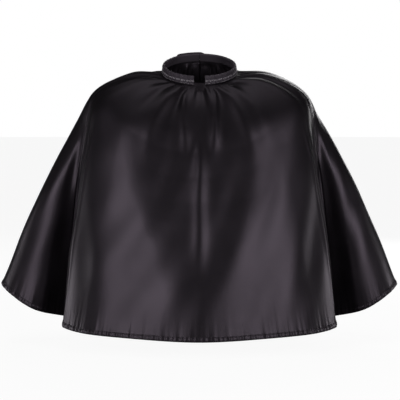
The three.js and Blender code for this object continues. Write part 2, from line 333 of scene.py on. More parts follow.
def metres_past(station, down):
    return (station - CENTRE_BACK) / centre_scale(down)


def smooth(x, low, high):
    t = np.clip((x - low) / (high - low), 0, 1)
    return t * t * (3 - 2 * t)


# How the cloth lies ------------------------------------------------------------------------------------

NECK_ANGLES = [station[0] for station in STATIONS]


def signed(station):
    """Stations from the centre front: above zero on the wearer's left, below it on the right."""
    return np.mod(station + CENTRE_BACK, ALL_ROUND) - CENTRE_BACK


def neck_angle(side):
    return np.interp(np.abs(side), range(len(NECK_ANGLES)), NECK_ANGLES) * np.sign(side)


def swell(x, centre, width):
    return np.exp(-(((x - centre) / width) ** 2))


def waves(x, pattern):
    """Uneven waves: each row of the pattern is a length, a height and a start."""
    return sum(height * np.sin(2 * np.pi * x / length + start) for length, height, start in pattern)


def waves_round(turn, pattern):
    """Uneven waves that close on themselves round the cape: each row has a count, a height and a start."""
    return sum(height * np.sin(2 * np.pi * turn * count + start) for count, height, start in pattern)


# Gathers below the band, in degrees round the neck, and folds behind, in stations: length, height and start.
GATHERS = ((8.9, 0.5, 0.7), (13.7, 0.75, 2.4), (21.0, 0.8, 4.4), (34.0, 0.7, 1.2))
GATHER_FADE = 0.075
GATHERS_BEHIND = (75, 100)
GATHERS_ON_SHOULDER = (86, 24)
GATHERS_LOST = 0.75  # on the shoulder
GATHER_SWAY = 3
GATHER_SWAY_ROUND = 17
GATHER_SWAY_BEHIND = 2
GATHER_SWAY_ROUND_BEHIND = 30
GATHER_STRETCH_BEHIND = 0.97
BACK_FOLDS = ((1.18, 0.75, 0.4), (1.9, 0.45, 2.0), (0.83, 0.3, 5.1))
BACK_FOLDS_FROM = (5.7, 7)
BACK_FOLDS_DOWN = ((0, 0.1, 0.3, 0.55), (0, 0.15, 0.6, 1))
MOUTH = 0.016  # the cloth lies flat where it leaves the band

# Where the front lies back between its chest folds: a depth, the share of the hollow there, the station up to
# which it is whole, and the station where it ends.
HOLLOW = (
    (0, 0, 0.7, 1.4),
    (0.05, 0.3, 0.6, 1.6),
    (0.10, 0.65, 0.45, 1.9),
    (0.15, 0.93, 0.35, 2.1),
    (0.20, 1, 0.2, 1.9),
    (0.25, 0.9, 0.15, 1.55),
    (0.29, 0.68, 0.12, 1.2),
    (0.335, 0.5, 0.1, 0.9),
    (0.38, 0.32, 0.07, 0.75),
    (0.43, 0.12, 0.05, 0.55),
    (0.50, 0, 0.05, 0.4),
)

# Long folds of the front: the height as a share of the fold depth, the depths it rises and fades between, and
# its course as depths, stations and widths.
BELOW_HEM = (1, 2)
LONG_FOLDS = (
    (0.34, (0.10, 0.17), (0.30, 0.42), (0,), (0,), (0.13,)),
    (0.16, (0.38, 0.48), BELOW_HEM, (0,), (0,), (0.22,)),
    (0.3, (0, 0.03), (0.1, 0.17), (0, 0.044, 0.078, 0.11, 0.15), (0.95, 0.68, 0.52, 0.43, 0.36), 5 * (0.13,)),
    (0.24, (0.02, 0.05), (0.13, 0.2), (0,), (1.33,), (0.16,)),
    (
        -0.45,
        (0.3, 0.45),
        BELOW_HEM,
        (0.30, 0.35, 0.42, 0.50, 0.56),
        (2.75, 2.55, 2.35, 2.12, 2.0),
        (0.3, 0.3, 0.42, 0.55, 0.55),
    ),
)
PINCH = 0.9  # below the notch, as a share of the fold depth
PINCH_FADE = 0.05
PINCH_WIDTH = 0.4

# The turn of the cloth into each side fold: height, station and width. The crook is a small bulge in the
# fold, below the shoulder. The wing stands out behind the fold, and the side seam is dented.
SIDE_EDGES = ((0.0016, 2.86, 0.07), (-0.0012, 3.04, 0.05))
SIDE_EDGES_FROM = (0.16, 0.26)
CROOK_HEIGHT = 0.0015
CROOK_STATION = (3.93, 0.07)
CROOK_DOWN = (0.165, 0.03)
WING_RISES = (4.5, 5.4)
WING_FADES = (5.5, 6.2)
WING_FROM = (0.2, 0.38)
SEAM_DENT = 0.0009
SEAM_WIDTH = 0.03

# Puckers along the hem: count round the cape, height and start. Drifts are broad waves that lean: count,
# fall, start and height.
PUCKERS = ((235, 0.5, 0.3), (146, 0.35, 2.7), (81, 0.4, 1.1))
PUCKER_LINE = 0.0085
PUCKER_FADE = 0.016
PUCKERS_FROM = (0.3, 0.4)
DRIFTS = ((7, 0.22, 0.9, 0.0009), (17, 0.35, 3.3, 0.0006), (25, 0.14, 5.2, 0.0004))


def relief(station, down):
    """How far the cloth stands out from its plain drape: gathers, folds, ripples and hem puckers."""
    cut = bpy.context.scene.cape_cut
    side = signed(station)
    angle = neck_angle(side)
    far = np.abs(side)
    depth = np.maximum(down, 0)
    mouth = smooth(depth, 0, MOUTH)

    behind = smooth(np.abs(angle), *GATHERS_BEHIND)
    fan = waves(angle + GATHER_SWAY * np.sin(angle / GATHER_SWAY_ROUND), GATHERS) * (1 - behind)
    sway = GATHER_SWAY_BEHIND * np.cos(angle / GATHER_SWAY_ROUND_BEHIND)
    fan += waves(np.abs(angle) * GATHER_STRETCH_BEHIND + sway, GATHERS) * behind
    on_shoulder = swell(np.abs(angle), *GATHERS_ON_SHOULDER) * GATHERS_LOST
    out = cut.gather_depth * fan * np.exp(-depth / GATHER_FADE) * mouth * (1 - on_shoulder)

    depths, *hollow = zip(*HOLLOW)
    deep, inner, outer = (np.interp(depth, depths, values) for values in hollow)
    out -= cut.hollow_depth * deep * (1 - smooth(far, inner, outer))
    for height, rises, fades, depths, stations, widths in LONG_FOLDS:
        fold = swell(far, np.interp(depth, depths, stations), np.interp(depth, depths, widths))
        out += cut.fold_depth * height * smooth(depth, *rises) * (1 - smooth(depth, *fades)) * fold
    out -= cut.fold_depth * PINCH * mouth * np.exp(-depth / PINCH_FADE) * swell(far, 0, PINCH_WIDTH)

    for height, place, width in SIDE_EDGES:
        out += height * smooth(depth, *SIDE_EDGES_FROM) * swell(far, place, width)
    out += CROOK_HEIGHT * swell(far, *CROOK_STATION) * swell(depth, *CROOK_DOWN)
    wing = smooth(far, *WING_RISES) * (1 - smooth(far, *WING_FADES))
    out += cut.hollow_depth * smooth(depth, *WING_FROM) * wing
    spread = np.interp(depth, *BACK_FOLDS_DOWN)
    out += cut.fold_depth * smooth(far, *BACK_FOLDS_FROM) * spread * waves(far, BACK_FOLDS)

    turn = hem_run(station) / HEM_RUN[-2]
    for count, fall, start, height in DRIFTS:
        out += height * mouth * np.sin(2 * np.pi * (turn * count + depth / fall) + start)
    above_hem = np.maximum(cloth_length(station) - PUCKER_LINE - down, 0)
    pucker = waves_round(turn, PUCKERS) * np.exp(-above_hem / PUCKER_FADE)
    out += cut.pucker_depth * pucker * smooth(depth, *PUCKERS_FROM)
    return out - SEAM_DENT * swell(far, SIDE_SEAM, SEAM_WIDTH) * mouth


def lap_lift(station, down):
    """How far the left half stands off the right one: it leaves the band, then lies over the other edge."""
    past = metres_past(station, down)
    across = smooth(past, -3 * FACING_WIDTH, -FACING_WIDTH)
    return across * np.maximum(smooth(down, 0, 2 * LAP_TOP), smooth(past, *LAP_CLEARS)) * LAP_LIFT


def lie(station, down, lap=False):
    """How far the cloth stands out, the lap of the left half too where it has one."""
    out = relief(station, down)
    if lap:
        out = out + lap_lift(station, down)
    return out


def rounded(distance, radius):
    """A quarter circle: 0 at an edge, and 1 from one radius in."""
    return np.sqrt(1 - (1 - np.clip(distance / radius, 0, 1)) ** 2)


PATTERN_NECK_RADIUS = 0.12
PATTERN_RADIUS = PATTERN_NECK_RADIUS + float(LENGTHS[-1].mean())


def flat_pattern(station, down):
    """The place in the cloth before it was hung: the cut is part of a ring."""
    turns = np.floor(station / ALL_ROUND)
    run = hem_run(station) + turns * HEM_RUN[-2]
    angle = run / PATTERN_RADIUS
    radius = PATTERN_NECK_RADIUS + down
    return np.stack([radius * np.sin(angle), -radius * np.cos(angle)], axis=-1)


def band_pattern(station, down):
    return np.stack([neck_run(station), down], axis=-1)


# Making pieces -----------------------------------------------------------------------------------------


def finish_piece(mesh, name, material, wall=0.0, smooth_shade=True):
    """Turns a bmesh into a piece, gives it its material and, for cloth, its thickness."""
    data = bpy.data.meshes.new(name)
    mesh.to_mesh(data)
    mesh.free()
    piece = bpy.data.objects.new(name, data)
    bpy.context.scene.collection.objects.link(piece)
    data.materials.append(material)
    data.polygons.foreach_set("use_smooth", [smooth_shade] * len(data.polygons))
    if wall:
        thicken = piece.modifiers.new("wall", "SOLIDIFY")
        thicken.thickness = wall
        thicken.offset = -1
        thicken.use_quality_normals = True
    return piece


def lay_grid(name, columns, rows, where, material, wall, pattern=flat_pattern, closed=False):
    """Lays a grid on the drape. where turns shares across and down into stations, distances and lifts.
    A closed one has edges that meet, and they are joined."""
    mesh = bmesh.new()
    bmesh.ops.create_grid(mesh, x_segments=columns, y_segments=rows, size=0.5)
    shares = np.array([vert.co.xy for vert in mesh.verts]) + 0.5
    station, down, out = where(shares[:, 0], 1 - shares[:, 1])
    for vert, point in zip(mesh.verts, lifted(station, down, out)):
        vert.co = point
    flat = pattern(station, down)
    piece = finish_piece(mesh, name, material, wall)
    corners = np.empty(len(piece.data.loops), int)
    piece.data.loops.foreach_get("vertex_index", corners)
    layer = piece.data.uv_layers.new(name="cloth")
    layer.data.foreach_set("uv", flat[corners].astype(np.float32).ravel())
    if closed:
        mesh = bmesh.new()
        mesh.from_mesh(piece.data)
        bmesh.ops.remove_doubles(mesh, verts=mesh.verts, dist=0.00002)
        bmesh.ops.recalc_face_normals(mesh, faces=mesh.faces)
        mesh.to_mesh(piece.data)
        mesh.free()
    return piece


def cut_size(piece, strip, layers):
    """The flat width, length and area of a piece, from its place in the uncut cloth. A strip's length is
    given, and its width follows from its area. Otherwise it is the smallest rectangle round the piece."""
    layer, faces = piece.data.uv_layers["cloth"], piece.data.polygons
    flat = np.empty(2 * len(layer.data), np.float32)
    layer.data.foreach_get("uv", flat)
    x, y = (flat.reshape(-1, 2) - flat.reshape(-1, 2).mean(0)).astype(float).T
    starts, counts = np.empty(len(faces), int), np.empty(len(faces), int)
    faces.foreach_get("loop_start", starts)
    faces.foreach_get("loop_total", counts)
    following = np.arange(len(x)) + 1
    following[starts + counts - 1] = starts
    crossed = np.add.reduceat(x * y[following] - y * x[following], starts)
    area = float(np.abs(crossed).sum() / 2 / layers)
    if strip:
        return (strip, area / strip), area
    turns = np.radians(np.arange(0, 90, 3))[:, None]
    wide = np.ptp(x * np.cos(turns) + y * np.sin(turns), axis=1)
    tall = np.ptp(y * np.cos(turns) - x * np.sin(turns), axis=1)
    least = np.argmin(wide * tall)
    return (float(wide[least]), float(tall[least])), area


def neck_length(first, last):
    return float(neck_run(last) - neck_run(first))


def declare_sheet(piece, strip=None, layers=1):
    flat, area = cut_size(piece, strip, layers)


def bend_at_crease(piece, at_neck=False):
    """Works out the way across the crease between the cape's body and one back half, and another way across
    it for what goes round the neck, then bakes the piece's place into its mesh. The piece is not bent."""
    low = CREASE_LOOK
    towards = NECK_BEND_WAY if at_neck else lifted(CREASE + 1, low, 0)[0] - lifted(CREASE, low, 0)[0]
    axis = CREASE_AXIS
    across = Vector(towards) - axis * Vector(towards).dot(axis)
    across = across.normalized() * CREASE_SOFTNESS
    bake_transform(piece)


THREAD_RADIUS = 0.00021
BAND_THREAD_RADIUS = 0.00034
STITCH_GAP = 0.0006


def add_stitches(mesh, start, end, normal, radius):
    """Adds one stitch for each pair of points: a short rounded thread that lies on the cloth."""
    for a, b, up in zip(start, end, normal):
        along = Vector(b - a)
        length = max(along.length - STITCH_GAP, radius * 2)
        along.normalize()
        up = Vector(up)
        side = up.cross(along).normalized()
        up = along.cross(side)
        turn = Matrix((along * length / 2, side * radius, up * radius)).transposed().to_4x4()
        place = Matrix.Translation(Vector((a + b) / 2)) @ turn
        bmesh.ops.create_icosphere(mesh, subdivisions=1, radius=1, matrix=place)


def stitch_run(mesh, station, down, out, radius):
    """Stitches along a line of places, one between each two."""
    points = lifted(station, down, out)
    normal = outward(station, down)
    add_stitches(mesh, points[:-1], points[1:], normal[:-1], radius)


# Finishes ----------------------------------------------------------------------------------------------


def new_group(name, inputs, outputs):
    group = bpy.data.node_groups.new(name, "ShaderNodeTree")
    for label, kind, value in inputs:
        socket = group.interface.new_socket(label, in_out="INPUT", socket_type=kind)
        socket.default_value = value
    for label, kind in outputs:
        group.interface.new_socket(label, in_out="OUTPUT", socket_type=kind)
    return group, group.nodes.new("NodeGroupInput"), group.nodes.new("NodeGroupOutput")


def add_node(tree, kind, links=(), **settings):
    """Adds a node, sets its properties, and links or sets its inputs by name or number."""
    made = tree.nodes.new(kind)
    for key, value in settings.items():
        setattr(made, key, value)
    for socket, value in dict(links).items():
        if isinstance(value, bpy.types.NodeSocket):
            tree.links.new(value, made.inputs[socket])
        else:
            made.inputs[socket].default_value = value
    return made


def weave_group():
    """Satin weave: fine floating threads both ways, a slight slub, and cloudy wear in the colour."""
    number, colour = "NodeSocketFloat", "NodeSocketColor"
    inputs = (
        ("Place", "NodeSocketVector", (0, 0, 0)),
        ("Colour", colour, (0.02, 0.02, 0.02, 1)),
        ("Sheen Colour", colour, (0.04, 0.04, 0.04, 1)),
        ("Thread", number, 0.0005),
        ("Roughness", number, 0.5),
        ("Depth", number, 0.00004),
    )
    outputs = (("Colour", colour), ("Roughness", number), ("Normal", "NodeSocketVector"))
    group, given, result = new_group("Satin weave", inputs, outputs)
    get = given.outputs

    def work_out(first, second, third=0.0, operation="MULTIPLY_ADD"):
        values = {0: first, 1: second, 2: third}
        return add_node(group, "ShaderNodeMath", values, operation=operation).outputs[0]

    count = work_out(1.0, get["Thread"], operation="DIVIDE")
    scaled = add_node(group, "ShaderNodeVectorMath", {0: get["Place"], "Scale": count}, operation="SCALE")

    def threads_along(way, scale, distortion):
        values = {"Vector": scaled.outputs[0], "Scale": scale, "Distortion": distortion}
        return add_node(group, "ShaderNodeTexWave", values, bands_direction=way).outputs["Fac"]

    def noise(**values):
        return add_node(group, "ShaderNodeTexNoise", {"Vector": get["Place"], **values}).outputs["Fac"]

    def stretched(value, most):
        values = {"Value": value, "From Min": 0.3, "From Max": 0.7, "To Min": 0.0, "To Max": most}
        return add_node(group, "ShaderNodeMapRange", values).outputs[0]

    threads = work_out(threads_along("X", 0.32, 0.6), threads_along("Y", 0.16, 0.8), 0.2)
    slub = noise(Scale=900.0, Detail=3.0)
    cloud = noise(Scale=14.0, Detail=4.0, Roughness=0.6)
    height = work_out(slub, 0.8, threads)
    bump = add_node(group, "ShaderNodeBump", {"Strength": 0.35, "Distance": get["Depth"], "Height": height})
    both = work_out(stretched(slub, 0.45), stretched(cloud, 0.55), operation="ADD")
    mixed = {"Factor": both, 6: get["Colour"], 7: get["Sheen Colour"]}
    tint = add_node(group, "ShaderNodeMix", mixed, data_type="RGBA")
    rough = work_out(both, 0.08, get["Roughness"])
    group.links.new(tint.outputs[2], result.inputs["Colour"])
    group.links.new(rough, result.inputs["Roughness"])
    group.links.new(bump.outputs[0], result.inputs["Normal"])
    return group


def cloth_material(name, colour, light, roughness, thread=0.0005, depth=0.00004, sheen=0.0, uv=True):
    """A woven finish. The weave follows the cloth's own map, or the piece's place where it has none."""
    material = bpy.data.materials.new(name)
    material.use_nodes = True
    tree = material.node_tree
    shader = tree.nodes["Principled BSDF"]
    shader.inputs["Specular Tint"].default_value = (0.98, 0.82, 1.0, 1)
    shader.inputs["Sheen Weight"].default_value = sheen
    shader.inputs["Sheen Roughness"].default_value = 0.45
    shader.inputs["Sheen Tint"].default_value = (0.8, 0.74, 0.84, 1)
    group = bpy.data.node_groups.get("Satin weave") or weave_group()
    weave = add_node(tree, "ShaderNodeGroup", node_tree=group)
    if uv:
        place = add_node(tree, "ShaderNodeUVMap", uv_map="cloth").outputs[0]
    else:
        place = add_node(tree, "ShaderNodeTexCoord").outputs["Object"]
    tree.links.new(place, weave.inputs["Place"])
    weave.inputs["Colour"].default_value = (*colour, 1)
    weave.inputs["Sheen Colour"].default_value = (*light, 1)
    weave.inputs["Thread"].default_value = thread
    weave.inputs["Roughness"].default_value = roughness
    weave.inputs["Depth"].default_value = depth
    tree.links.new(weave.outputs["Colour"], shader.inputs["Base Color"])
    tree.links.new(weave.outputs["Roughness"], shader.inputs["Roughness"])
    tree.links.new(weave.outputs["Normal"], shader.inputs["Normal"])
    return material


# Finishes beside the satin: the colours of shaded and lit threads, roughness, thread, depth of the weave,
# sheen, and whether the weave follows the cloth's own map.
ELASTIC = ((0.012, 0.012, 0.012), (0.02, 0.02, 0.02))
HOOKS = ((0.012, 0.012, 0.013), (0.03, 0.03, 0.03))
LOOPS = ((0.016, 0.016, 0.017), (0.035, 0.034, 0.036))
OTHER_FINISHES = {
    "elastic": (*ELASTIC, 0.85, 0.0011, 0.0002),
    "hook_tape": (*HOOKS, 0.5, 0.0009, 0.0002),
    "loop_tape": (*LOOPS, 0.95, 0.0007, 0.0003, 0.4),
    "hook_tape_bare": (*HOOKS, 0.4, 0.0003, 0.00002, 0.0, False),
    "loop_tape_bare": (*LOOPS, 0.95, 0.0003, 0.0001, 0.4, False),
    "thread": ((0.016, 0.014, 0.017), (0.035, 0.032, 0.037), 0.4, 0.00018, 0.00003, 0.0, False),
    # The band's thread is near white: it is real thread, and its pale colour is a painted glint that stands
    # in for the highlights on the ruched band.
    "band_thread_painted_glint": ((0.5, 0.46, 0.5), (0.8, 0.76, 0.81), 0.3, 0.00018, 0.00003, 0.0, False),
}
# The band's satin, also used for the tab, is painted light: its colours are many times lighter than the
# cape's satin and stand in for light that its downward-leaning face would catch.
BAND_SATIN_PAINTED_LIGHT = ((0.028, 0.024, 0.0295), (0.08, 0.069, 0.083), 0.5)
TURNED_WEAVE_DEPTH = 0.00006
FINISHES = {}


def make_finishes():
    look = bpy.context.scene.cape_finish
    satin = (tuple(look.satin_colour), tuple(look.thread_light), look.satin_roughness)
    FINISHES["satin"] = cloth_material("satin", *satin, sheen=look.satin_sheen)
    for name, finish in (("turned_satin", satin), ("band_satin", BAND_SATIN_PAINTED_LIGHT)):
        FINISHES[name] = cloth_material(name, *finish, depth=TURNED_WEAVE_DEPTH, sheen=look.satin_sheen)
    for name, finish in OTHER_FINISHES.items():
        FINISHES[name] = cloth_material(name, *finish)


def finish_of(slot):
    if not FINISHES:
        make_finishes()
    return FINISHES[slot]


# Sizes and colours that a user would change --------------------------------------------------------------


def length(name, description, default, least=0.0):
    return bpy.props.FloatProperty(
        name=name, description=description, default=default, min=least, unit="LENGTH", precision=5
    )


def power(name, description, default):
    return bpy.props.FloatProperty(name=name, description=description, default=default, min=0, unit="POWER")


def share(name, description, default):
    return bpy.props.FloatProperty(name=name, description=description, default=default, min=0, max=1)


def colour(name, description, default):
    return bpy.props.FloatVectorProperty(
        name=name, description=description, default=default, subtype="COLOR", size=3, min=0, max=1
    )


class CapeCutSettings(bpy.types.PropertyGroup):
    """Sizes of the cloth and its folds."""

    cloth_wall: length("Cloth", "Thickness of the satin", 0.0006, 0.0002)
    gather_depth: length("Gathers", "Height of the gathers below the neckband", 0.0017)
    fold_depth: length("Folds", "Depth of the long folds", 0.0085)
    hollow_depth: length("Hollow", "How far the front lies back between its two long folds", 0.0135)
    pucker_depth: length("Puckers", "Height of the puckers that the hem's stitching pulls", 0.0007)
    ruche_depth: length("Ruching", "Height of the neckband's ruching", 0.0009)
    stitch_length: length("Stitch", "Length of one stitch", 0.0032, 0.001)


class CapeFinishSettings(bpy.types.PropertyGroup):
    """Colours and sheen of the satin."""

    satin_colour: colour("Satin", "Colour of the satin in its shaded threads", (0.0045, 0.0038, 0.0047))
    thread_light: colour("Lit threads", "Colour of the satin in its lit threads", (0.0120, 0.0102, 0.0124))
    satin_roughness: share("Roughness", "Roughness of the satin", 0.36)
    satin_sheen: share("Sheen", "Sheen of the satin", 0.0)


class CapeStageSettings(bpy.types.PropertyGroup):
    """Camera and lights."""

    camera_distance: length("Camera distance", "From the cape's middle to the camera, along the floor", 3.0)
    camera_elevation: bpy.props.FloatProperty(
        name="Elevation", description="The camera's angle", default=math.radians(3), subtype="ANGLE"
    )
    camera_lens: bpy.props.FloatProperty(name="Lens", description="Focal length", default=135, unit="CAMERA")
    side_light: power("Side lights", "Power of each side light", 12.0)
    edge_light: power("Edge lights", "Power of each light that catches the edges", 14.0)
    back_light: power("Back light", "Power of the light behind", 22.0)
    top_light: power("Top light", "Power of the light above", 4.0)


# The pieces ---------------------------------------------------------------------------------------------


ROUGH_DOWN = 0.2
ROWS_CROWD = 1.2  # rows lie closer together towards the neck
INSIDE_HEM = 0.0022
LAP_CORNER = 0.002  # the lapping edge's top corner, below the neckline
LAP_CORNER_FROM = (-0.0002, 0.001)


def body_place(first, last, lap=False):
    """Places of a body piece between two edges, from inside the band to inside the hem."""

    def where(across, down_share):
        share = down_share**ROWS_CROWD
        middle = first(ROUGH_DOWN) + (last(ROUGH_DOWN) - first(ROUGH_DOWN)) * across
        rough = -TUCK + share * (cloth_length(middle) + TUCK)
        begin, end = first(rough), last(rough)
        station = begin + (end - begin) * across
        top = np.full(len(station), -TUCK)
        if lap:
            past = metres_past(station, np.zeros(len(station)))
            top += (LAP_CORNER + TUCK) * smooth(past, *LAP_CORNER_FROM)
        down = top + share * (cloth_length(station) - INSIDE_HEM - top)
        return station, down, lie(station, down, lap)

    return where


def fixed(station):
    return lambda down: np.full(np.shape(down), float(station))


def mirror_of(edge):
    return lambda down: ALL_ROUND - edge(down)


def edge_past(reach):
    """An edge along the opening, from the distance past the centre back that it has at each place down it."""

    def edge(down):
        down = np.asarray(down, float)
        return past_centre(reach(down), down).reshape(np.shape(down))

    return edge


def lap_edge(inside):
    """The lapping edge of the left half, which runs on past the centre back."""
    more = LAP_AT_HEM - LAP_AT_NECK
    return edge_past(lambda down: LAP_AT_NECK + more * np.clip(down / BODY_DROP, 0, 1) - inside)


def under_edge(inside):
    """The edge of the right half, which ends at the centre back."""
    return edge_past(lambda down: -inside)


EDGE_TURN = 0.0003
FRONT = (fixed(-SIDE_SEAM), fixed(SIDE_SEAM))
LEFT_BACK = (fixed(SIDE_SEAM), lap_edge(EDGE_TURN))
RIGHT_BACK = (mirror_of(under_edge(EDGE_TURN)), fixed(ALL_ROUND - SIDE_SEAM))


class CAPE_OT_front_cloth(bpy.types.Operator):
    """Draws the front of the cape, from side seam to side seam"""

    bl_idname = "cape.front_cloth"
    bl_label = "Front cloth"

    def execute(self, context):
        wall = context.scene.cape_cut.cloth_wall
        front = lay_grid("front_cloth", 290, 160, body_place(*FRONT), finish_of("satin"), wall)
        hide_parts("front_panel")
        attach(front, "cape_body")
        declare_sheet(front)
        return {"FINISHED"}


class CAPE_OT_back_cloths(bpy.types.Operator):
    """Draws the two halves of the back, each one cloth from the side seam to the opening"""

    bl_idname = "cape.back_cloths"
    bl_label = "Back cloths"

    def execute(self, context):
        wall = context.scene.cape_cut.cloth_wall
        for side, edges, lap in (("left", LEFT_BACK, True), ("right", RIGHT_BACK, False)):
            back = lay_grid(f"{side}_back_cloth", 215, 160, body_place(*edges, lap), finish_of("satin"), wall)
            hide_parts(f"{side}_back_panel", f"{side}_back_flap")
            declare_sheet(back)
            bend_at_crease(back)
        return {"FINISHED"}


HEM_TOP_OUT = 0.0007
HEM_BELLY = 0.0011
HEM_FOLD = 0.14  # share of the hem's height in which its lower edge turns
HEM_GROOVE = 0.0005
HEM_GROOVE_PLACE = (0.82, 0.07)
TURNED_WALL = 0.0004


def hem_place(first, last, lap=False):
    """Places of a turned hem: down its outer face, round the fold, and up its inner face."""

    def where(across, share):
        turn = share * 2 - 1
        height = np.abs(turn)
        begin, end = first(np.full(len(across), 0.5)), last(np.full(len(across), 0.5))
        station = begin + (end - begin) * across
        belly = HEM_TOP_OUT + (HEM_BELLY - HEM_TOP_OUT) * np.sin(np.pi * np.clip(height, 0, 1))
        groove = HEM_GROOVE * swell(height, *HEM_GROOVE_PLACE)
        side = np.where(turn < 0, 1.0, -1.0)
        down = cloth_length(station) - HEM_HEIGHT * height
        return station, down, lie(station, down, lap) + side * (belly * rounded(height, HEM_FOLD) - groove)

    return where


class CAPE_OT_turned_hems(bpy.types.Operator):
    """Draws the turned hem of each cloth"""

    bl_idname = "cape.turned_hems"
    bl_label = "Turned hems"

    def execute(self, context):
        hems = (
            ("front", FRONT, 640, False, ("front_hem",)),
            ("left_back", LEFT_BACK, 420, True, ("left_back_hem", "left_flap_hem")),
            ("right_back", RIGHT_BACK, 400, False, ("right_back_hem", "right_flap_hem")),
        )
        for name, edges, columns, lap, nodes in hems:
            place, satin = hem_place(*edges, lap), finish_of("turned_satin")
            hem = lay_grid(f"{name}_turned_hem", columns, 26, place, satin, TURNED_WALL)
            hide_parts(*nodes)
            run = hem_run([float(edge(np.array(0.5))) for edge in edges])
            declare_sheet(hem, strip=float((run[1] - run[0]) % HEM_RUN[-2]))
            if name == "front":
                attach(hem, "cape_body")
            else:
                bend_at_crease(hem)
        return {"FINISHED"}


OPENING = 0.53
FACING_FOLD = 0.1  # share of the facing's width in which its edge turns
FACING_OUT = 0.00075
FACING_IN = 0.0003
FACING_GROOVE = 0.0004
FACING_GROOVE_PLACE = (0.86, 0.06)


def facing_place(first, last, top, lap=False):
    """Places of a turned edge along the opening: out along its outer face and back along its inner one. The
    left one is laid the other way, so that its faces point outwards."""

    def where(across, share):
        turn = (1 - across if lap else across) * 2 - 1
        width = np.abs(turn)
        side = np.where(turn < 0, 1.0, -1.0)
        rough = top + share * OPENING
        inner, edge = first(rough), last(rough)
        station = edge + (inner - edge) * width
        down = top + share * (cloth_length(station) - HEM_HEIGHT * 0.4 - top)
        groove = FACING_GROOVE * swell(width, *FACING_GROOVE_PLACE)
        thick = side * (FACING_OUT * rounded(width, FACING_FOLD) - groove)
        return station, down, lie(station, down, lap) - FACING_IN + thick

    return where


class CAPE_OT_opening_facings(bpy.types.Operator):
    """Draws the turned edges on both sides of the opening"""

    bl_idname = "cape.opening_facings"
    bl_label = "Opening facings"

    def execute(self, context):
        left = (lap_edge(FACING_WIDTH), lap_edge(0))
        right = (mirror_of(under_edge(FACING_WIDTH)), mirror_of(under_edge(0)))
        for side, edges, top, lap in (("left", left, LAP_CORNER, True), ("right", right, 0.001, False)):
            place, satin = facing_place(*edges, top, lap), finish_of("turned_satin")
            facing = lay_grid(f"{side}_turned_edge", 22, 180, place, satin, TURNED_WALL)
            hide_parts(f"{side}_opening_facing")
            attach(facing, f"{side}_half")
            declare_sheet(facing, strip=OPENING)
        return {"FINISHED"}


RUCHES = ((0.0037, 0.4, 0.4), (0.0059, 0.45, 2.2), (0.0101, 0.45, 4.0))
BAND_FOOT = 0.0009
BAND_END_GAP = 0.001
BAND_END_ROUND = 0.0013
BAND_WALL = 0.0007
BAND_STITCH_LOW = 0.0060
BAND_STITCH_HIGH = 0.0105
BAND_STITCH_WIDTH = 0.0012
BAND_OUTER = 0.00245  # half the band's thickness
BAND_FOLD = 0.14  # share of the band's height in which its top edge turns
BAND_FOOT_SHARE = 0.62
RUCHE_OUT = 0.8
RUCHE_SWAY = 0.0009
RUCHE_SWAY_RATE = 500
RUCHE_PINNED = 0.55  # how much of it the zigzag presses flat, and how deep the thread sinks in
RUCHE_DENT = 0.35
FLAT_AT_TAB = (0.001, 0.018)  # the ruching ends and begins this far past the tab
TOP_SWAY = 0.5  # the top edge goes up and down with the ruching at this height
TOP_SWAY_HEIGHT = 0.008


def ruche(station, height):
    """How the elastic draws the band up into small upright folds, pinched where it is sewn."""
    fold = waves(neck_run(station) + RUCHE_SWAY * np.sin(height * RUCHE_SWAY_RATE), RUCHES)
    rows = (swell(height, row, BAND_STITCH_WIDTH) for row in (BAND_STITCH_LOW, BAND_STITCH_HIGH))
    sewn = np.clip(sum(rows), 0, 1)
    edge = smooth(height, BAND_FOOT, BAND_FOOT + 0.002)
    past = np.abs(metres_past(station, np.zeros(len(station))))
    closure = smooth(past - TAB_REACH, *FLAT_AT_TAB)
    return (fold * edge * (1 - RUCHE_PINNED * sewn) - RUCHE_DENT * sewn) * closure


def band_place(first, last):
    """Places of a neckband half: up its outer face, over the top and down its inner face."""

    def where(across, share):
        station = first + (last - first) * across
        turn = 1 - 2 * share
        height = 1 - np.abs(turn)
        side = np.where(share < 0.5, -1.0, 1.0)
        top = BAND_HEIGHT - 0.0002
        round_top = rounded(1 - height, BAND_FOLD)
        up = BAND_FOOT + (top - BAND_FOOT) * height
        foot = BAND_FOOT_SHARE + (1 - BAND_FOOT_SHARE) * smooth(up, BAND_FOOT, BAND_FOOT + 0.0026)
        depth = bpy.context.scene.cape_cut.ruche_depth
        run = neck_run(station)
        out = side * round_top * (BAND_OUTER * foot + depth * ruche(station, up) * RUCHE_OUT)
        out = out * rounded(np.minimum(run - run.min(), run.max() - run), BAND_END_ROUND)
        sway = ruche(station, np.full(len(up), TOP_SWAY_HEIGHT))
        up = up + depth * TOP_SWAY * sway * smooth(height, 0.7, 1)
        return station, -up, out

    return where


class CAPE_OT_neckbands(bpy.types.Operator):
    """Draws the two ruched halves of the neckband"""

    bl_idname = "cape.neckbands"
    bl_label = "Neckbands"

    def execute(self, context):
        notch = float(stations_for(NOTCH_WIDTH / 2, 0.0)[0])
        halves = (
            ("left", notch, CENTRE_BACK - BAND_END_GAP),
            ("right", CENTRE_BACK + BAND_END_GAP, ALL_ROUND - notch),
        )
        for side, first, last in halves:
            # The band takes the lighter satin, which is painted light.
            place, satin = band_place(first, last), finish_of("band_satin")
            band = lay_grid(f"{side}_ruched_band", 520, 40, place, satin, BAND_WALL, band_pattern)
            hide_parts(f"{side}_neckband", f"{side}_neckband_end")
            declare_sheet(band, strip=neck_length(first, last))
            bend_at_crease(band, at_neck=True)
        return {"FINISHED"}


ELASTIC_WALL = 0.0014
ELASTIC_LOW = TUCK + 0.0018
ELASTIC_HIGH = BAND_HEIGHT - 0.0017
ELASTIC_SHORT = 0.003
ELASTIC_RIB = 0.0021
ELASTIC_RIB_DEPTH = 0.00012


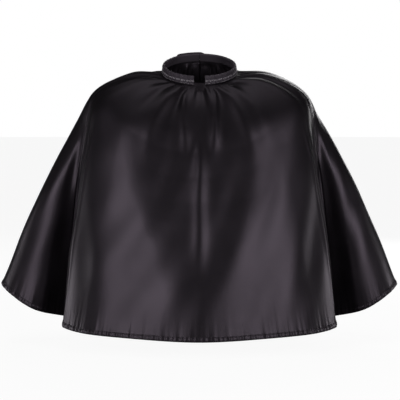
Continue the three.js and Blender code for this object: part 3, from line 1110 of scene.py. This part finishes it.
class CAPE_OT_neck_elastics(bpy.types.Operator):
    """Draws the woven elastic inside each half of the neckband"""

    bl_idname = "cape.neck_elastics"
    bl_label = "Neck elastics"

    def execute(self, context):
        near = float(stations_for(NOTCH_WIDTH / 2 + ELASTIC_SHORT, 0.0)[0])
        far = CREASE - float(stations_for(ELASTIC_SHORT, float(CREASE))[0])
        for side, first, last in (("left", near, far), ("right", ALL_ROUND - far, ALL_ROUND - near)):

            def where(across, share, first=first, last=last):
                station = first + (last - first) * across
                height = ELASTIC_HIGH + (ELASTIC_LOW - ELASTIC_HIGH) * share
                rib = ELASTIC_RIB_DEPTH * np.sin(2 * np.pi * neck_run(station) / ELASTIC_RIB)
                return station, -height, ELASTIC_WALL / 2 + rib

            woven = finish_of("elastic")
            tape = lay_grid(f"{side}_elastic_tape", 420, 6, where, woven, ELASTIC_WALL, band_pattern)
            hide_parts(f"{side}_neck_elastic")
            declare_sheet(tape, strip=neck_length(first, last))
            bend_at_crease(tape, at_neck=True)
        return {"FINISHED"}


TAB_LOW = BAND_LIFT + 0.001
TAB_HIGH = BAND_HEIGHT - 0.001
PAD_MARGIN = 0.0025
LOOP_OUT = BAND_OUT + PAD_GAP + PAD_THICKNESS / 2
HOOK_OUT = LOOP_OUT + PAD_THICKNESS + PAD_GAP
TAB_OUT = HOOK_OUT + PAD_THICKNESS / 2 + PAD_GAP + TAB_CLOTH / 2
TAB_SEWN_IN = 0.0005
TAB_ROOT_SHARE = 0.004
TAB_END_ROUND = 3.2  # powers that round the tab's end, its section and its faces
TAB_END_THIN = 9
TAB_SECTION_TALL = 0.35
TAB_SECTION_FLAT = 0.45
TAB_PULL = 0.00022  # of its stitches
TAB_PULL_PLACE = (0.8, 0.06)
TAB_PUFF = 0.08
TAB_PUFF_RATE = 900
TAPE_WALL = 0.0005
HOOK_PITCH = 0.00105
HOOK_SUNK = 0.0001
HOOK_REACH = 0.00062
HOOK_STEM = 0.00010
HOOK_HEAD = 0.00024
PILE_PITCH = HOOK_PITCH * 0.8
PILE_STRAY = 0.0002
PILE_OUT = 0.00012
PILE_TUFT = (0.00034, 0.0005)


def tab_lift(past):
    return smooth(past, -TAB_ROOT, -0.001) * TAB_OUT


def tab_place(across, share):
    """Round the tab's section, which is flat with soft edges, and out to its rounded end."""
    past = -TAB_ROOT + TAB_SEWN_IN + (TAB_REACH + TAB_ROOT - TAB_SEWN_IN) * across
    middle, half = (TAB_HIGH + TAB_LOW) / 2, (TAB_HIGH - TAB_LOW) / 2
    end = np.clip((past - TAB_REACH + half) / half, 0, 1)
    root = np.clip(across / TAB_ROOT_SHARE, 0, 1)
    tall = half * np.sqrt(np.clip(1 - end**TAB_END_ROUND, 0, 1))
    thick = TAB_CLOTH / 2 * np.sqrt(np.clip(1 - end**TAB_END_THIN, 0, 1)) * root
    turn = 2 * np.pi * share
    upright, out = np.cos(turn), np.sin(turn)
    height = middle + tall * np.sign(upright) * np.abs(upright) ** TAB_SECTION_TALL
    edge_pull = TAB_PULL * swell(np.abs(upright) ** TAB_SECTION_TALL, *TAB_PULL_PLACE)
    puff = 1 + TAB_PUFF * np.sin(past * TAB_PUFF_RATE) * (1 - end)
    out = np.sign(out) * (np.abs(out) ** TAB_SECTION_FLAT * thick * puff - edge_pull * (thick > 0.0004))
    return past_centre(past), -height, tab_lift(past) + out


def pad_place(first, last, low, high, out):
    def where(across, share):
        past = first + (last - first) * across
        return past_centre(past), -(high + (low - high) * share), np.full(len(past), out)

    return where


def pad_spots(first, last, low, high, pitch):
    """Staggered spots over a pad, as distances past the centre and heights."""
    rows = int((high - low) / pitch)
    columns = int((last - first) / pitch)
    spots = [
        (first + (column + 0.5 + 0.5 * (row % 2)) * pitch, low + (row + 0.5) * pitch)
        for row in range(rows)
        for column in range(columns - 1)
    ]
    return np.array(spots).T


def bend_at_tab(piece):
    """Works out the way along the tab from the root of its own hinge, then bakes the tab's place into its
    mesh. The tab is not bent.
    """
    root, clear = lifted(past_centre(-TAB_ROOT), -0.010, 0)[0], lifted(past_centre(0), -0.010, TAB_OUT)[0]
    along = Vector(clear - root)
    along = (along - TAB_AXIS * along.dot(TAB_AXIS)).normalized()
    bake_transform(piece)


class CAPE_OT_closure(bpy.types.Operator):
    """Draws the closure: the tab, its hook tape, and the loop tape that it presses onto"""

    bl_idname = "cape.closure"
    bl_label = "Closure"

    def execute(self, context):
        # The tab takes the band's lighter satin, which is painted light.
        tab = lay_grid("neck_tab", 110, 48, tab_place, finish_of("band_satin"), 0, band_pattern, closed=True)
        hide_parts("closure_tab")
        declare_sheet(tab, strip=TAB_REACH + TAB_ROOT, layers=2)
        bend_at_tab(tab)

        low, high = TAB_LOW + PAD_MARGIN, TAB_HIGH - PAD_MARGIN
        first, last = 0.006, TAB_REACH - PAD_MARGIN
        base_out = HOOK_OUT + PAD_THICKNESS / 2
        place = pad_place(first, last, low, high, base_out)
        hooks = lay_grid("hook_tape", 60, 14, place, finish_of("hook_tape"), TAPE_WALL, band_pattern)
        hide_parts("hook_pad")
        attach(hooks, "tab")
        add_hooks(pad_spots(first, last, low, high, HOOK_PITCH), base_out - TAPE_WALL)

        first, last = 0.003, TAB_REACH
        base_out = LOOP_OUT - PAD_THICKNESS / 2 + TAPE_WALL
        place = pad_place(first, last, low, high, base_out)
        loops = lay_grid("loop_tape", 60, 14, place, finish_of("loop_tape"), TAPE_WALL, band_pattern)
        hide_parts("loop_pad")
        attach(loops, "right_half")
        add_pile(pad_spots(first, last, low, high, PILE_PITCH), base_out)
        return {"FINISHED"}


def add_hooks(spots, out):
    """Small headed hooks that point inwards from the tape."""
    past, height = spots
    station = past_centre(past)
    feet, heads = lifted(station, -height, out + HOOK_SUNK), lifted(station, -height, out - HOOK_REACH)
    mesh = bmesh.new()
    for foot, head in zip(feet, heads):
        way = Vector(head - foot)
        turn = way.to_track_quat("Z", "Y").to_matrix().to_4x4()
        place = Matrix.Translation(Vector((foot + head) / 2)) @ turn
        size = {"radius1": HOOK_STEM, "radius2": HOOK_HEAD, "depth": way.length}
        bmesh.ops.create_cone(mesh, cap_ends=True, segments=5, matrix=place, **size)
    hooks = finish_piece(mesh, "tape_hooks", finish_of("hook_tape_bare"), smooth_shade=False)
    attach(hooks, "tab")


def add_pile(spots, out):
    """Brushed loops, each a small soft tuft."""
    draw = np.random.default_rng(7)
    past, height = spots + draw.uniform(-PILE_STRAY, PILE_STRAY, spots.shape)
    tops = lifted(past_centre(past), -height, out + PILE_OUT)
    mesh = bmesh.new()
    for top in tops:
        wide, tall = draw.uniform(*PILE_TUFT), draw.uniform(*PILE_TUFT)
        place = Matrix.Translation(Vector(top)) @ Matrix.Diagonal((wide, tall, wide, 1))
        bmesh.ops.create_icosphere(mesh, subdivisions=1, radius=1, matrix=place)
    pile = finish_piece(mesh, "tape_pile", finish_of("loop_tape_bare"))
    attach(pile, "right_half")


HEM_STITCH = 0.0082
HEM_STITCH_OUT = 0.00052
FACING_STITCH = 0.86 * FACING_WIDTH
FACING_STITCH_OUT = 0.0004
ZIGZAG_PITCH = 0.0024
THREAD_ON_BAND = BAND_OUTER + 0.00012
FOOT_STITCH = 0.0030
TAB_STITCH = 0.0026
TAB_STITCH_INSET = 0.0016


def stitched_piece(name, lines, body=None, half=None, finish="thread", radius=THREAD_RADIUS, at_neck=False):
    """One piece of all the stitches in these lines, each a tuple of stations, distances down and lifts."""
    mesh = bmesh.new()
    for station, down, out in lines:
        stitch_run(mesh, station, down, out, radius)
    piece = finish_piece(mesh, name, finish_of(finish))
    if half:
        bend_at_crease(piece, at_neck)
    else:
        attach(piece, body)


def hem_line(first, last, side, lap=False):
    cut = bpy.context.scene.cape_cut
    if last < first:
        last += ALL_ROUND
    marks = np.arange(first, last, 0.002)
    run = run_along(on_ring(FALL_RINGS[-1], marks))
    station = np.interp(np.arange(0, run[-1], cut.stitch_length), run, marks)
    down = cloth_length(station) - HEM_STITCH
    return station, down, lie(station, down, lap) + side * HEM_STITCH_OUT


def facing_line(edge, top, side, lap):
    cut = bpy.context.scene.cape_cut
    down = np.arange(top, 0.54, cut.stitch_length)
    station = edge(down)
    return station, down, lie(station, down, lap) - FACING_IN + side * FACING_STITCH_OUT


def zigzag_line(first, last):
    """The zigzag that sews the elastic into the band."""
    marks = neck_run([first, last])
    count = int((marks[1] - marks[0]) / ZIGZAG_PITCH * 2)
    station = np.interp(np.linspace(*marks, count), NECK_RUN, MARK_STATIONS)
    height = np.where(np.arange(count) % 2, BAND_STITCH_LOW, BAND_STITCH_HIGH)
    depth = bpy.context.scene.cape_cut.ruche_depth
    return station, -height, THREAD_ON_BAND + depth * ruche(station, height) * RUCHE_OUT


def foot_line(first, last):
    """The line of stitches along the band's lower edge."""
    cut = bpy.context.scene.cape_cut
    marks = neck_run([first, last])
    station = np.interp(np.arange(*marks, cut.stitch_length * 0.8), NECK_RUN, MARK_STATIONS)
    height = np.full(len(station), FOOT_STITCH)
    return station, -height, THREAD_ON_BAND - 0.0001 + cut.ruche_depth * ruche(station, height) * RUCHE_OUT


def tab_lines():
    """A box of stitches round the tab, just inside its edge."""
    low, high = TAB_LOW + TAB_STITCH_INSET, TAB_HIGH - TAB_STITCH_INSET
    first, last = -0.001, TAB_REACH - 0.0042
    rows = []
    for height in (low, high):
        past = np.arange(first, last, TAB_STITCH)
        rows.append((past, np.full(len(past), height)))
    for past in (first, last):
        height = np.linspace(low, high, 5)
        rows.append((np.full(len(height), past), height))
    return [(past_centre(past), -height, tab_lift(past) + TAB_CLOTH / 2 - 0.0001) for past, height in rows]


class CAPE_OT_stitching(bpy.types.Operator):
    """Draws the topstitching of the hems and facings, the band's zigzag and the tab's box of stitches"""

    bl_idname = "cape.stitching"
    bl_label = "Stitching"

    def execute(self, context):
        notch = float(stations_for(NOTCH_WIDTH / 2, 0.0)[0]) + 0.02
        left_end = float(past_centre(LAP_AT_HEM - 0.001, BODY_DROP)[0])
        tab_start = float(past_centre(-TAB_ROOT - 0.002)[0])
        both = (1, -1)
        front = [hem_line(-SIDE_SEAM, SIDE_SEAM, side) for side in both]
        stitched_piece("front_hem_stitches", front, body="cape_body")
        left = [hem_line(SIDE_SEAM, left_end, side, True) for side in both]
        stitched_piece("left_back_hem_stitches", left, half="left_half")
        right = [hem_line(CENTRE_BACK + 0.01, ALL_ROUND - SIDE_SEAM, side) for side in both]
        stitched_piece("right_back_hem_stitches", right, half="right_half")
        left = [facing_line(lap_edge(FACING_STITCH), 0.012, side, True) for side in both]
        stitched_piece("left_edge_stitches", left, body="left_half")
        right = [facing_line(mirror_of(under_edge(FACING_STITCH)), 0.009, side, False) for side in both]
        stitched_piece("right_edge_stitches", right, body="right_half")
        ends = (("left", notch, tab_start), ("right", CENTRE_BACK + 0.7, ALL_ROUND - notch))
        for side, first, last in ends:
            lines = [zigzag_line(first, last), foot_line(first, last)]
            name, half = f"{side}_band_stitches", f"{side}_half"
            # The band's zigzag and foot stitches use the near-white thread, a painted glint.
            stitched_piece(name, lines, None, half, "band_thread_painted_glint", BAND_THREAD_RADIUS, at_neck=True)
        stitched_piece("tab_stitches", tab_lines(), body="tab")
        return {"FINISHED"}


SEAM_ALLOWANCE = 0.007
SEAM_LENGTH = 0.58
SEAM_IN = 0.0009
SEAM_PRESS = 0.0004


class CAPE_OT_side_seams(bpy.types.Operator):
    """Draws the pressed seam allowance inside each side seam"""

    bl_idname = "cape.side_seams"
    bl_label = "Side seams"

    def execute(self, context):
        for side, seam in (("left", SIDE_SEAM), ("right", ALL_ROUND - SIDE_SEAM)):

            def where(across, share, seam=seam):
                down = 0.004 + share * (cloth_length(np.full(len(share), seam)) - HEM_HEIGHT - 0.006)
                reach = (across * 2 - 1) * SEAM_ALLOWANCE
                station = seam + reach * stations_for(1.0, np.full(len(down), seam), down)
                press = SEAM_PRESS * (1 - np.abs(across * 2 - 1))
                return station, down, relief(station, down) - SEAM_IN - press

            satin = finish_of("turned_satin")
            pressed = lay_grid(f"{side}_seam_allowance", 12, 170, where, satin, TURNED_WALL)
            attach(pressed, "cape_body")
            declare_sheet(pressed, strip=SEAM_LENGTH)
        return {"FINISHED"}


FLOOR_BELOW = 0.03
FLOOR_GLOW = 0.93
ROOM_LIGHT = 0.012


class CAPE_OT_stage(bpy.types.Operator):
    """Sets up the floor, the lights and the camera"""

    bl_idname = "cape.stage"
    bl_label = "Stage"

    def execute(self, context):
        stage = context.scene.cape_stage
        aim = Vector((0.001, 0, (CAD_LOW.z + CAD_HIGH.z) / 2 - 0.021))
        add_floor()
        add_world()
        add_camera(aim, stage)
        for side, name in ((-1, "right"), (1, "left")):
            add_light(f"side_light_{name}", aim, (side * 1.24, -1.77, 0.42), (0.7, 1.1), stage.side_light)
            add_light(f"edge_light_{name}", aim, (side * 2.1, 0.37, -0.38), (0.8, 1.0), stage.edge_light)
        add_light("top_light", aim, (0, -0.2, 1.9), (1.6, 1.0), stage.top_light)
        add_light("back_light", aim, (0.9, 2.2, 0.9), (1.4, 1.4), stage.back_light)
        context.scene.view_settings.view_transform = "Standard"
        return {"FINISHED"}


def add_floor():
    mesh = bmesh.new()
    place = Matrix.Translation((0, 0, CAD_LOW.z - FLOOR_BELOW))
    bmesh.ops.create_circle(mesh, cap_ends=True, segments=96, radius=40, matrix=place)
    material = bpy.data.materials.new("pale_floor")
    material.use_nodes = True
    shader = material.node_tree.nodes["Principled BSDF"]
    shader.inputs["Base Color"].default_value = (0.12, 0.12, 0.12, 1)
    shader.inputs["Roughness"].default_value = 0.9
    shader.inputs["Specular IOR Level"].default_value = 0
    shader.inputs["Emission Color"].default_value = (1, 1, 1, 1)
    path = add_node(material.node_tree, "ShaderNodeLightPath")
    seen = {0: path.outputs["Is Camera Ray"], 1: FLOOR_GLOW}
    glow = add_node(material.node_tree, "ShaderNodeMath", seen, operation="MULTIPLY")
    material.node_tree.links.new(glow.outputs[0], shader.inputs["Emission Strength"])
    floor = finish_piece(mesh, "floor", material, smooth_shade=False)


def add_world():
    """White to the camera, a dim grey room to the cape."""
    world = bpy.data.worlds.new("white_room")
    bpy.context.scene.world = world
    world.use_nodes = True
    tree = world.node_tree
    room = tree.nodes["Background"]
    room.inputs["Color"].default_value = (1, 1, 1, 1)
    room.inputs["Strength"].default_value = ROOM_LIGHT
    seen = add_node(tree, "ShaderNodeBackground", {"Color": (1, 1, 1, 1), "Strength": 1.0})
    path = add_node(tree, "ShaderNodeLightPath")
    mix = add_node(tree, "ShaderNodeMixShader", {0: path.outputs["Is Camera Ray"]})
    tree.links.new(room.outputs[0], mix.inputs[1])
    tree.links.new(seen.outputs[0], mix.inputs[2])
    tree.links.new(mix.outputs[0], tree.nodes["World Output"].inputs["Surface"])


def add_camera(aim, stage):
    camera = bpy.data.objects.new("camera", bpy.data.cameras.new("camera"))
    bpy.context.scene.collection.objects.link(camera)
    tilt = stage.camera_elevation
    back = Vector((0, -math.cos(tilt), math.sin(tilt)))
    camera.location = aim + back * stage.camera_distance / math.cos(tilt)
    camera.rotation_euler = (-back).to_track_quat("-Z", "Y").to_euler()
    camera.data.lens = stage.camera_lens
    camera.data.sensor_width = 36
    bpy.context.scene.camera = camera


def add_light(name, aim, offset, size, power):
    light = bpy.data.lights.new(name, "AREA")
    light.shape = "RECTANGLE"
    light.size, light.size_y = size
    light.energy = power
    lamp = bpy.data.objects.new(name, light)
    bpy.context.scene.collection.objects.link(lamp)
    lamp.location = aim + Vector(offset)
    lamp.rotation_euler = (aim - lamp.location).to_track_quat("-Z", "Y").to_euler()


class CAPE_PT_panel(bpy.types.Panel):
    """Lists the cape's pieces and sizes"""

    bl_idname = "CAPE_PT_panel"
    bl_label = "Salon Cape"
    bl_space_type = "VIEW_3D"
    bl_region_type = "UI"
    bl_category = "Salon Cape"

    def draw(self, context):
        layout = self.layout
        for settings in (context.scene.cape_cut, context.scene.cape_finish, context.scene.cape_stage):
            box = layout.box()
            for name in settings.__annotations__:
                box.prop(settings, name)
        for operator in OPERATORS:
            layout.operator(operator.bl_idname)


OPERATORS = (
    CAPE_OT_front_cloth,
    CAPE_OT_back_cloths,
    CAPE_OT_turned_hems,
    CAPE_OT_opening_facings,
    CAPE_OT_side_seams,
    CAPE_OT_neckbands,
    CAPE_OT_neck_elastics,
    CAPE_OT_closure,
    CAPE_OT_stitching,
    CAPE_OT_stage,
)
SETTINGS = {"cape_cut": CapeCutSettings, "cape_finish": CapeFinishSettings, "cape_stage": CapeStageSettings}


def register():
    for name, settings in SETTINGS.items():
        bpy.utils.register_class(settings)
        setattr(bpy.types.Scene, name, bpy.props.PointerProperty(type=settings))
    for operator in OPERATORS:
        bpy.utils.register_class(operator)
    bpy.utils.register_class(CAPE_PT_panel)


def unregister():
    bpy.utils.unregister_class(CAPE_PT_panel)
    for operator in reversed(OPERATORS):
        bpy.utils.unregister_class(operator)
    for name, settings in SETTINGS.items():
        delattr(bpy.types.Scene, name)
        bpy.utils.unregister_class(settings)


def main():
    register()
    for operator in OPERATORS:
        group, name = operator.bl_idname.split(".")
        getattr(getattr(bpy.ops, group), name)()


if __name__ == "__main__":
    main()
